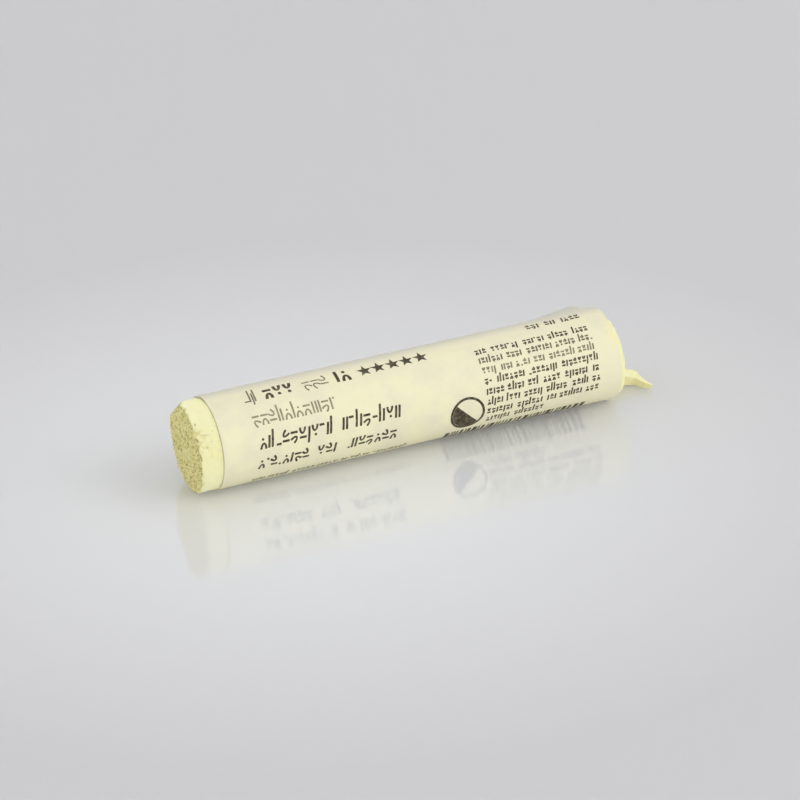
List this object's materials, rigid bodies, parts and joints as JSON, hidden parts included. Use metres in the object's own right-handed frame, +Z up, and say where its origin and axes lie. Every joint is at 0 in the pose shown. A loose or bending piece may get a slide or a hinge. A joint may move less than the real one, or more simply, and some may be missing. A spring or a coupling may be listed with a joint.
{
  "type": "soft pastel stick",
  "caption": "Round soft pastel stick in a glued paper sleeve, worn flat at one end and broken at the other, for drawing and shading.",
  "frame": {"origin": "on the sleeve's resting flat, halfway along the sleeve", "axes": "+X along the stick from the worn end to the broken end, +Z up, with the label's print facing -Y"},
  "size_m": [0.0644, 0.012, 0.012],
  "materials": {
    "pastel": "powdery matte, pale lemon yellow",
    "label_paper": "thin satin paper, cream, with dark print",
    "label_print": "dark brown ink"
  },
  "bodies": {
    "root": {"pastel_stick": "pastel", "wrapper": "label_paper"}
  },
  "joints": []
}
